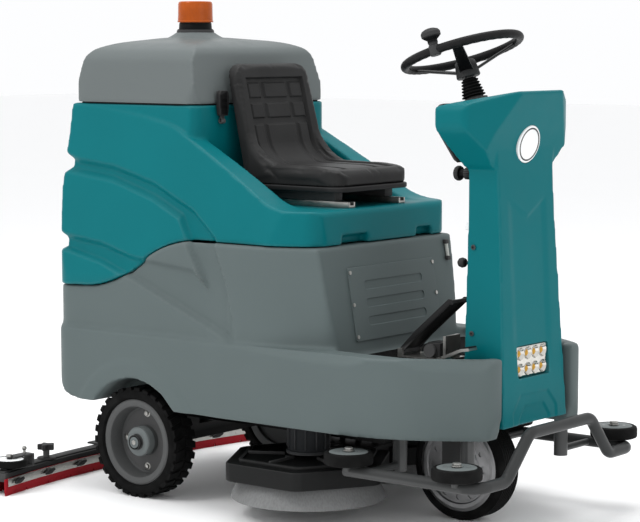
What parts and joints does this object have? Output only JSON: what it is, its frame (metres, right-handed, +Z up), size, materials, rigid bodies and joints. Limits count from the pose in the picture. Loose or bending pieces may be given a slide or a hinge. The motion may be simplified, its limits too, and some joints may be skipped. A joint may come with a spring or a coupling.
{
  "type": "ride-on floor scrubber",
  "caption": "Battery ride-on floor scrubber with a moulded body, tilting recovery tank, steered drive wheel, twin disc brushes and a curved squeegee.",
  "frame": {"origin": "on the floor under the middle of the machine's bounding box", "axes": "+X forward, the way the driver faces; +Y to the driver's left; +Z up"},
  "size_m": [1.574, 1.1212, 1.338],
  "materials": {
    "body_grey": "moulded, semi-matt",
    "tank_teal": "moulded, satin",
    "lid_grey": "moulded, semi-matt",
    "black_plastic": "fine texture",
    "frame_black": "powder coat",
    "bumper_grey": "powder coat",
    "steel": "zinc plated",
    "motor_metal": "painted",
    "battery_case": "stands in for a lead-acid battery's weight",
    "water_tank": "natural polyethylene",
    "rubber": "moulded",
    "tyre": "solid rubber",
    "rim_grey": "glass-filled nylon",
    "hub_steel": "machined",
    "red_rubber": "natural rubber",
    "seat_skin": "integral-skin foam",
    "orange_lens": "amber polycarbonate",
    "lamp": "lamp body",
    "white_badge": "blank",
    "bristle": "polypropylene bristle"
  },
  "bodies": {
    "chassis": {"frame": "frame_black", "lower_body": "body_grey", "rear_axle": "frame_black", "batteries": "battery_case", "clean_water_tank": "water_tank", "solution_pump": "black_plastic", "motor_controller": "black_plastic", "column_cover": "tank_teal", "dash_panel": "black_plastic", "steering_unit": "black_plastic", "steering_bellows": "rubber", "headlight": "lamp", "badge_plate": "white_badge", "access_panel": "body_grey", "cover_screws": "steel", "foot_mat": "rubber", "pedal_bracket": "steel", "bumper_frame": "bumper_grey", "lift_actuator": "steel", "hinge_brackets": "steel"},
    "recovery_tank": {"recovery_tank": "tank_teal", "vacuum_motor": "motor_metal", "seat_rails": "steel"},
    "tank_lid": {"tank_lid": "lid_grey", "lid_seal": "rubber", "beacon_base": "black_plastic", "beacon_lens": "orange_lens"},
    "lid_latch": {"lid_latch": "black_plastic"},
    "seat": {"seat_pan": "black_plastic", "seat_cushion": "seat_skin", "seat_backrest": "seat_skin"},
    "steering_wheel": {"steering_wheel": "black_plastic"},
    "steering_knob": {"steering_knob": "black_plastic"},
    "drive_unit": {"drive_fork": "frame_black"},
    "drive_wheel": {"drive_tyre": "tyre", "drive_hub": "hub_steel"},
    "accelerator_pedal": {"accelerator_pedal": "black_plastic"},
    "brake_pedal": {"brake_pedal": "steel"},
    "emergency_stop": {"emergency_stop": "black_plastic"},
    "solution_knob": {"solution_knob": "black_plastic"},
    "key_switch": {"key_switch": "white_badge"},
    "rear_wheel_right": {"rear_tyre_right": "tyre", "rear_rim_right": "rim_grey"},
    "rear_wheel_left": {"rear_tyre_left": "tyre", "rear_rim_left": "rim_grey"},
    "brush_deck": {"brush_deck": "frame_black", "brush_motors": "motor_metal"},
    "brush_right": {"brush_right": "bristle"},
    "brush_left": {"brush_left": "bristle"},
    "squeegee_swing": {"swing_bracket": "frame_black"},
    "squeegee": {"squeegee_arm": "frame_black", "squeegee_beam": "black_plastic", "squeegee_blades": "red_rubber", "squeegee_straps": "steel"},
    "end_roller_right": {"end_roller_right": "rubber"},
    "end_roller_left": {"end_roller_left": "rubber"},
    "roller_front_right": {"roller_front_right": "rubber"},
    "roller_front_left": {"roller_front_left": "rubber"},
    "roller_rear_right": {"roller_rear_right": "rubber"},
    "roller_rear_left": {"roller_rear_left": "rubber"}
  },
  "joints": [
    {"name": "tank_tilt", "type": "hinge", "parent": "chassis", "child": "recovery_tank", "pos_m": [-0.678, 0, 0.56], "axis": [0, -1, 0], "range_deg": [0, 50]},
    {"name": "lid_open", "type": "hinge", "parent": "recovery_tank", "child": "tank_lid", "pos_m": [-0.657, 0, 1.068], "axis": [0, -1, 0], "range_deg": [0, 75]},
    {"name": "latch_swing", "type": "hinge", "parent": "recovery_tank", "child": "lid_latch", "pos_m": [-0.189, -0.181, 1.016], "axis": [0, 1, 0], "range_deg": [0, 100]},
    {"name": "seat_slide", "type": "slide", "parent": "recovery_tank", "child": "seat", "axis": [1, 0, 0], "range_m": [0, 0.15]},
    {"name": "drive_steer", "type": "hinge", "parent": "chassis", "child": "drive_unit", "pos_m": [0.483, 0, 0.14], "axis": [0, 0, 1], "range_deg": [-70, 70]},
    {"name": "drive_spin", "type": "hinge", "parent": "drive_unit", "child": "drive_wheel", "pos_m": [0.483, 0, 0.14], "axis": [0, 1, 0], "continuous": true},
    {"name": "steering_turn", "type": "hinge", "parent": "chassis", "child": "steering_wheel", "pos_m": [0.461, 0, 1.2], "axis": [-0.314, 0, 0.9494], "range_deg": [-350, 350]},
    {"name": "knob_spin", "type": "hinge", "parent": "steering_wheel", "child": "steering_knob", "pos_m": [0.48082, -0.14854, 1.20655], "axis": [-0.314, 0, 0.9494], "continuous": true},
    {"name": "accelerator_press", "type": "hinge", "parent": "chassis", "child": "accelerator_pedal", "pos_m": [0.375, -0.103, 0.442], "axis": [0, 1, 0], "range_deg": [0, 14], "stiffness_Nm_per_rad": 8, "springref_deg": -20.05},
    {"name": "brake_press", "type": "hinge", "parent": "chassis", "child": "brake_pedal", "pos_m": [0.537, -0.18, 0.44], "axis": [0, 1, 0], "range_deg": [0, 12], "stiffness_Nm_per_rad": 6, "springref_deg": -17.19},
    {"name": "stop_press", "type": "slide", "parent": "chassis", "child": "emergency_stop", "axis": [1, 0, 0], "range_m": [0, 0.006]},
    {"name": "solution_pull", "type": "slide", "parent": "chassis", "child": "solution_knob", "axis": [-1, 0, 0], "range_m": [0, 0.03]},
    {"name": "key_turn", "type": "hinge", "parent": "chassis", "child": "key_switch", "pos_m": [0.558, -0.084, 0.766], "axis": [1, 0, 0], "range_deg": [0, 90]},
    {"name": "rear_wheel_right_spin", "type": "hinge", "parent": "chassis", "child": "rear_wheel_right", "pos_m": [-0.367, -0.302, 0.15], "axis": [0, 1, 0], "continuous": true},
    {"name": "rear_wheel_left_spin", "type": "hinge", "parent": "chassis", "child": "rear_wheel_left", "pos_m": [-0.367, 0.302, 0.15], "axis": [0, 1, 0], "continuous": true},
    {"name": "deck_lower", "type": "slide", "parent": "chassis", "child": "brush_deck", "axis": [0, 0, -1], "range_m": [0, 0.048]},
    {"name": "brush_right_spin", "type": "hinge", "parent": "brush_deck", "child": "brush_right", "pos_m": [0.1325, -0.215, 0.1], "axis": [0, 0, 1], "continuous": true},
    {"name": "brush_left_spin", "type": "hinge", "parent": "brush_deck", "child": "brush_left", "pos_m": [0.1325, 0.215, 0.1], "axis": [0, 0, 1], "continuous": true},
    {"name": "squeegee_swing", "type": "hinge", "parent": "chassis", "child": "squeegee_swing", "pos_m": [-0.437, 0, 0.17], "axis": [0, 0, 1], "range_deg": [-12, 12]},
    {"name": "squeegee_lift", "type": "hinge", "parent": "squeegee_swing", "child": "squeegee", "pos_m": [-0.597, 0, 0.142], "axis": [0, 1, 0], "range_deg": [0, 20]},
    {"name": "end_roller_right_spin", "type": "hinge", "parent": "squeegee", "child": "end_roller_right", "pos_m": [-0.69065, -0.496, 0.08], "axis": [0, 0, 1], "continuous": true},
    {"name": "end_roller_left_spin", "type": "hinge", "parent": "squeegee", "child": "end_roller_left", "pos_m": [-0.69065, 0.496, 0.08], "axis": [0, 0, 1], "continuous": true},
    {"name": "roller_front_right_spin", "type": "hinge", "parent": "chassis", "child": "roller_front_right", "pos_m": [0.704, -0.364, 0.2], "axis": [0, 0, 1], "continuous": true},
    {"name": "roller_front_left_spin", "type": "hinge", "parent": "chassis", "child": "roller_front_left", "pos_m": [0.704, 0.364, 0.2], "axis": [0, 0, 1], "continuous": true},
    {"name": "roller_rear_right_spin", "type": "hinge", "parent": "chassis", "child": "roller_rear_right", "pos_m": [0.378, -0.364, 0.2], "axis": [0, 0, 1], "continuous": true},
    {"name": "roller_rear_left_spin", "type": "hinge", "parent": "chassis", "child": "roller_rear_left", "pos_m": [0.378, 0.364, 0.2], "axis": [0, 0, 1], "continuous": true}
  ],
  "couplings": [
    {"joint": "steering_turn", "follows": "drive_steer", "ratio": 5}
  ]
}
